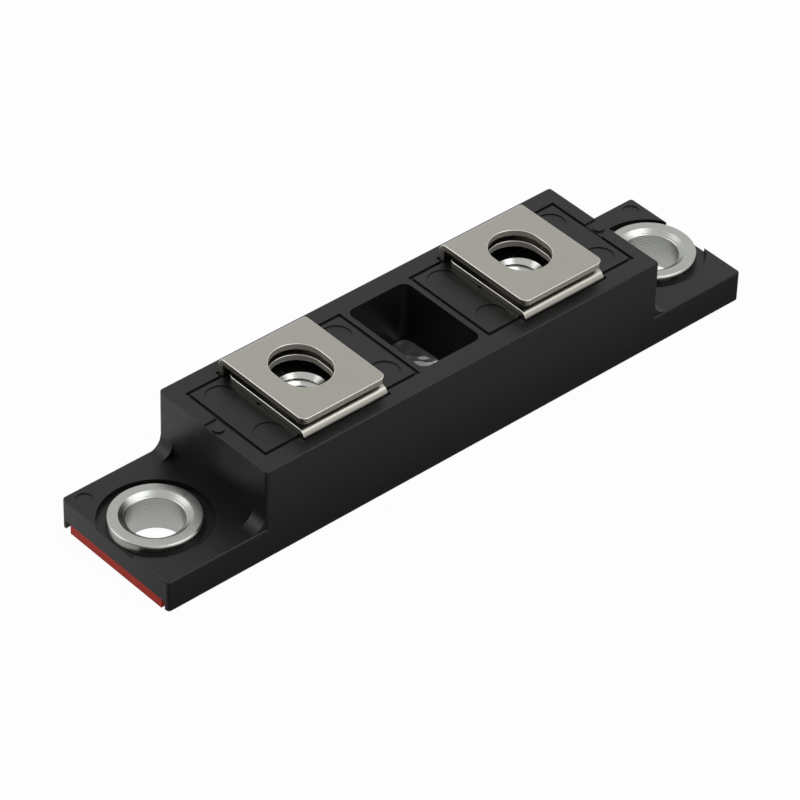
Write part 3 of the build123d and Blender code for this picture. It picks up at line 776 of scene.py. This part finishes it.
def thread_tree():
    """Geometry Nodes that move the points of a plain wall out to a thread."""
    tree = bpy.data.node_groups.new("thread tapped in a nut", "GeometryNodeTree")
    kinds = {"Nut": "Geometry", "Axis": "Vector", "Foot": "Float", "Top": "Float", "Wall Radius": "Float",
             "Pitch": "Float", "Crest Radius": "Float", "Root Radius": "Float", "Mouth Radius": "Float",
             "First Turn": "Float", "Finish": "Material"}
    for name, kind in kinds.items():
        tree.interface.new_socket(name, in_out="INPUT", socket_type="NodeSocket" + kind)
    tree.interface.new_socket("Geometry", in_out="OUTPUT", socket_type="NodeSocketGeometry")
    given = add_node(tree, "NodeGroupInput").outputs

    # Where the point is: its height, and how far it is from the axis.
    point = add_node(tree, "ShaderNodeVectorMath", {
        0: add_node(tree, "GeometryNodeInputPosition").outputs[0], 1: given["Axis"]}, operation="SUBTRACT")
    x, y, height = add_node(tree, "ShaderNodeSeparateXYZ", {0: point.outputs[0]}).outputs
    flat = add_node(tree, "ShaderNodeVectorMath", {
        0: point.outputs[0], 1: (1, 1, 0)}, operation="MULTIPLY")
    length = add_node(tree, "ShaderNodeVectorMath", {0: flat.outputs[0]}, operation="LENGTH")
    radius = length.outputs["Value"]
    on_wall = add_node(tree, "ShaderNodeMath", {0: radius, 1: given["Wall Radius"]}, operation="LESS_THAN")

    # How far the tap has cut there, from crest to root and back in each pitch.
    angle = add_node(tree, "ShaderNodeMath", {0: y, 1: x}, operation="ARCTAN2")
    turned = add_node(tree, "ShaderNodeMath", {
        0: angle.outputs[0], 1: -1 / pi, 2: given["First Turn"]}, operation="MULTIPLY_ADD")
    raised = add_node(tree, "ShaderNodeMath", {0: height, 1: given["Pitch"]}, operation="DIVIDE")
    phase = add_node(tree, "ShaderNodeMath", {
        0: raised.outputs[0], 1: 2.0, 2: turned.outputs[0]}, operation="MULTIPLY_ADD")
    from_crest = add_node(tree, "ShaderNodeMath", {0: phase.outputs[0], 1: 1.0}, operation="PINGPONG")
    tapped = add_node(tree, "ShaderNodeMapRange", {
        "Value": from_crest.outputs[0], "From Min": CREST_SHARE, "From Max": 1 - ROOT_SHARE,
        "To Min": given["Crest Radius"], "To Max": given["Root Radius"]})

    # The countersink cuts deeper near the ends, and the point moves out to the deeper of the two.
    below_top = add_node(tree, "ShaderNodeMath", {0: given["Top"], 1: height}, operation="SUBTRACT")
    above_foot = add_node(tree, "ShaderNodeMath", {0: height, 1: given["Foot"]}, operation="SUBTRACT")
    depth = add_node(tree, "ShaderNodeMath", {
        0: below_top.outputs[0], 1: above_foot.outputs[0]}, operation="MINIMUM")
    cone = add_node(tree, "ShaderNodeMath", {
        0: given["Mouth Radius"], 1: depth.outputs[0]}, operation="SUBTRACT")
    cut = add_node(tree, "ShaderNodeMath", {0: tapped.outputs[0], 1: cone.outputs[0]}, operation="MAXIMUM")
    growth = add_node(tree, "ShaderNodeMath", {0: cut.outputs[0], 1: radius}, operation="DIVIDE")
    outward = add_node(tree, "ShaderNodeMath", {0: growth.outputs[0], 1: 1.0}, operation="SUBTRACT")
    move = add_node(tree, "ShaderNodeVectorMath", {
        0: flat.outputs[0], "Scale": outward.outputs[0]}, operation="SCALE")
    threaded = add_node(tree, "GeometryNodeSetPosition", {
        0: given["Nut"], "Selection": on_wall.outputs[0], "Offset": move.outputs[0]})
    real = add_node(tree, "GeometryNodeRealizeInstances", {0: threaded.outputs[0]})
    finished = add_node(tree, "GeometryNodeSetMaterial", {0: real.outputs[0], "Material": given["Finish"]})
    add_node(tree, "NodeGroupOutput", {0: finished.outputs[0]})
    return tree


thread = thread_tree()
socket = {item.name: item.identifier for item in thread.interface.items_tree if item.in_out == "INPUT"}
print("thread tree with inputs", ", ".join(socket))

# %% [markdown]
# The nut's own solid has a smooth bore. In its copy that bore is opened, and a turned sleeve with a
# fine inner wall stands in it, a hair below the nut's faces. The tree cuts the thread in the sleeve.

# %% Opened nut and sleeve
OPENED_RADIUS, OPENED_DEPTH = 3.3, 0.25     # the plain bore and its mouth step back behind the sleeve
SHARP_FACET = 30                            # degrees, so that the hexagon keeps its corners
SLEEVE_WALL, SLEEVE_BACK, THREAD_ROWS = 3.0, 3.5, 160


def opened_nut(node_name, low, high, axis):
    """A copy of a nut's mesh with its bore opened."""
    mesh = merged_copy(node_name)
    for vertex in mesh.vertices:
        across = (vertex.co - axis).xy
        if across.length < OPENED_RADIUS * MM:
            across *= OPENED_RADIUS * MM / across.length
            upper = vertex.co.z > axis.z
            vertex.co = (axis.x + across.x, axis.y + across.y,
                         high.z - OPENED_DEPTH * MM if upper else low.z + OPENED_DEPTH * MM)
    mesh.shade_smooth()
    mesh.set_sharp_from_angle(angle=radians(SHARP_FACET))
    return mesh


def add_sleeve(mesh, axis, foot, top):
    """Joins a sleeve to the nut's mesh, between two heights in millimetres."""
    wall = [(SLEEVE_WALL, foot + (top - foot) * row / THREAD_ROWS) for row in range(THREAD_ROWS + 1)]
    sleeve = turned_mesh("sleeve", axis, wall + [(SLEEVE_BACK, top), (SLEEVE_BACK, foot)])
    both = bmesh.new()
    both.from_mesh(mesh)
    both.from_mesh(sleeve)
    both.to_mesh(mesh)
    both.free()
    bpy.data.meshes.remove(sleeve)


print("sleeve with", THREAD_ROWS, "rows of", TURNING_STEPS, "faces in its wall")

# %% Nuts
SLEEVE_SINK = 0.02              # mm below the nut's faces
WALL_MARGIN = 0.1               # mm past the wall, up to which the tree moves points

for side in SIDES:
    node_name = "terminal_nut_" + side
    low, high = (Vector(corner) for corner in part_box(node_name))
    axis = (low + high) / 2
    foot, top = low.z / MM + SLEEVE_SINK, high.z / MM - SLEEVE_SINK
    mesh = opened_nut(node_name, low, high, axis)
    add_sleeve(mesh, axis, foot, top)
    nut = add_piece("threaded_nut_" + side, mesh, zinc)
    cut = nut.modifiers.new("thread", "NODES")
    cut.node_group = thread
    lengths = {
        "Foot": foot, "Top": top, "Wall Radius": SLEEVE_WALL + WALL_MARGIN, "Pitch": PITCH,
        "Crest Radius": THREAD_CREST, "Root Radius": THREAD_ROOT, "Mouth Radius": THREAD_MOUTH}
    for name, value in lengths.items():
        cut[socket[name]] = value * MM
    cut[socket["Axis"]] = (axis.x, axis.y, 0.0)
    cut[socket["First Turn"]] = FIRST_TURN
    cut[socket["Finish"]] = zinc
    keep_result(nut)
    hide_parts(node_name)
    print(nut.name, len(nut.data.polygons), "faces,", open_edges(nut.data), "open edges")

# %% [markdown]
# ## The gel in the well
# The potting is seen at the bottom of the well. It creeps up the walls and lies a little lower at the
# back. Its skin shrank as it cured, which left two wrinkles across the front corner: steps that face
# the light and catch it in short bright streaks. A grid with a height for each point gives the skin.
# It has a flat underside, which makes it a closed piece, and its rim is hidden in the wall.

# %% Height of the gel
WELL_X, WELL_Y = 4.5, 6.8               # mm from the middle to the well's walls, at the gel's height
GEL_FOOT, GEL_LEVEL, GEL_THINNEST = 3.9, 4.66, 0.12
FALL_START, FALL_RATE, FALL_MOST = -2.0, 0.1, 0.68      # the skin falls towards the back
CREEP_X, CREEP_Y = (0.5, 0.5), (0.1, 0.4)               # how far up the wall, and how far out from it
WAVE_X, WAVE_Y = (0.03, 2.1, 1.1, 0.9, 0.0), (0.025, 2.9, 1.3, 1.1, 0.6)
SLANT_X, SLANT_Y, WRINKLE_STEEPNESS = 0.835, 0.55, 0.09
WRINKLES = ((3.55, 0.3), (4.3, 0.16))   # how far along the slant each one lies, and its rise


def creep(from_wall, rise, reach):
    """How far the gel has crept up, at a distance from a wall."""
    return rise * exp(-from_wall / reach)


def wave(u, v, rise, rate, bend, bend_rate, start):
    """A slow wave along u whose crests bend to and fro along v."""
    return rise * sin(rate * u + bend * sin(bend_rate * v) + start)


def gel_height(x, y):
    """Height of the gel's skin in millimetres."""
    level = max(GEL_LEVEL - FALL_MOST, GEL_LEVEL - FALL_RATE * max(y, FALL_START))
    crept = creep(WELL_X - abs(x), *CREEP_X) + creep(WELL_Y - abs(y), *CREEP_Y)
    waves = wave(x, y, *WAVE_X) + wave(y, x, *WAVE_Y)
    along = SLANT_X * x + SLANT_Y * y
    wrinkles = sum(rise / (1 + exp((lies - along) / WRINKLE_STEEPNESS)) for lies, rise in WRINKLES)
    return max(GEL_FOOT + GEL_THINNEST, level + crept + waves + wrinkles)


print("gel", round(gel_height(0, 0), 2), "mm up in the middle,", round(gel_height(WELL_X, 0), 2), "at a wall")

# %% Gel in the well
GRID_X, GRID_Y = 4.75, 7.1              # mm, past the walls, so that the rim is hidden
GEL_STEPS_X, GEL_STEPS_Y = 80, 120

mesh = bpy.data.meshes.new("gel_skin")
shape = bmesh.new()
rows = []
for i in range(GEL_STEPS_X + 1):
    x = GRID_X * (2 * i / GEL_STEPS_X - 1)
    rows.append([])
    for j in range(GEL_STEPS_Y + 1):
        y = GRID_Y * (2 * j / GEL_STEPS_Y - 1)
        rows[-1].append((shape.verts.new((x * MM, y * MM, gel_height(x, y) * MM)),
                         shape.verts.new((x * MM, y * MM, GEL_FOOT * MM))))
for i in range(GEL_STEPS_X):
    for j in range(GEL_STEPS_Y):
        a, b, c, d = rows[i][j], rows[i + 1][j], rows[i + 1][j + 1], rows[i][j + 1]
        shape.faces.new([p[0] for p in (a, b, c, d)])
        shape.faces.new([p[1] for p in (d, c, b, a)])
rim = ([rows[i][0] for i in range(GEL_STEPS_X)] + [rows[-1][j] for j in range(GEL_STEPS_Y)]
       + [rows[i][-1] for i in range(GEL_STEPS_X, 0, -1)] + [rows[0][j] for j in range(GEL_STEPS_Y, 0, -1)])
for k, (top_vertex, foot_vertex) in enumerate(rim):
    next_top, next_foot = rim[(k + 1) % len(rim)]
    shape.faces.new((foot_vertex, next_foot, next_top, top_vertex))
shape.to_mesh(mesh)
shape.free()
mesh.shade_smooth()
gel_skin = add_piece("gel_skin", mesh, gel)
print(gel_skin.name, len(mesh.polygons), "faces,", open_edges(mesh), "open edges")
